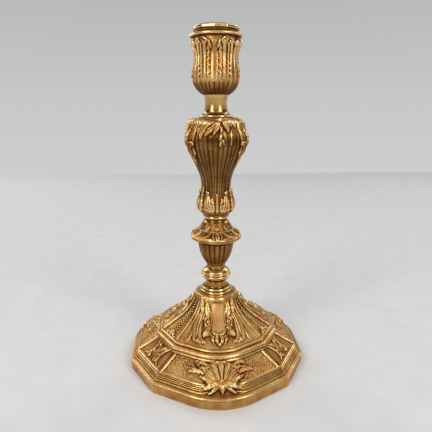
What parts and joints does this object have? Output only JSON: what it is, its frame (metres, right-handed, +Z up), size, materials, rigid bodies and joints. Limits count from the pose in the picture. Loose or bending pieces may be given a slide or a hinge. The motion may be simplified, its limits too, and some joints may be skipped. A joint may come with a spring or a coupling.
{
  "type": "candlestick",
  "caption": "Gilt bronze table candlestick with a stepped lobed foot, a three-sided baluster shaft, a ribbed socket and a lift-out nozzle.",
  "frame": {"origin": "on the candlestick's axis, in the plane of the foot's rim", "axes": "+Z up the axis towards the candle, -Y towards the front wide side of the foot"},
  "size_m": [0.1468, 0.15, 0.2712],
  "materials": {
    "gilt_bronze": "gilt, matt grounds with burnished mouldings",
    "burnished_gilt": "burnished gilding",
    "steel": "dull, oiled"
  },
  "bodies": {
    "candlestick": {"foot": "gilt_bronze", "foot_collar": "burnished_gilt", "knop": "burnished_gilt", "vase": "gilt_bronze", "neck_ring": "burnished_gilt", "shaft": "gilt_bronze", "spool": "burnished_gilt", "socket": "gilt_bronze", "tie_rod": "steel", "washer": "steel", "nut": "steel"},
    "nozzle": {"nozzle": "burnished_gilt"}
  },
  "joints": [
    {"name": "nozzle_lift", "type": "slide", "parent": "candlestick", "child": "nozzle", "axis": [0, 0, 1], "range_m": [0, 0.03]}
  ]
}
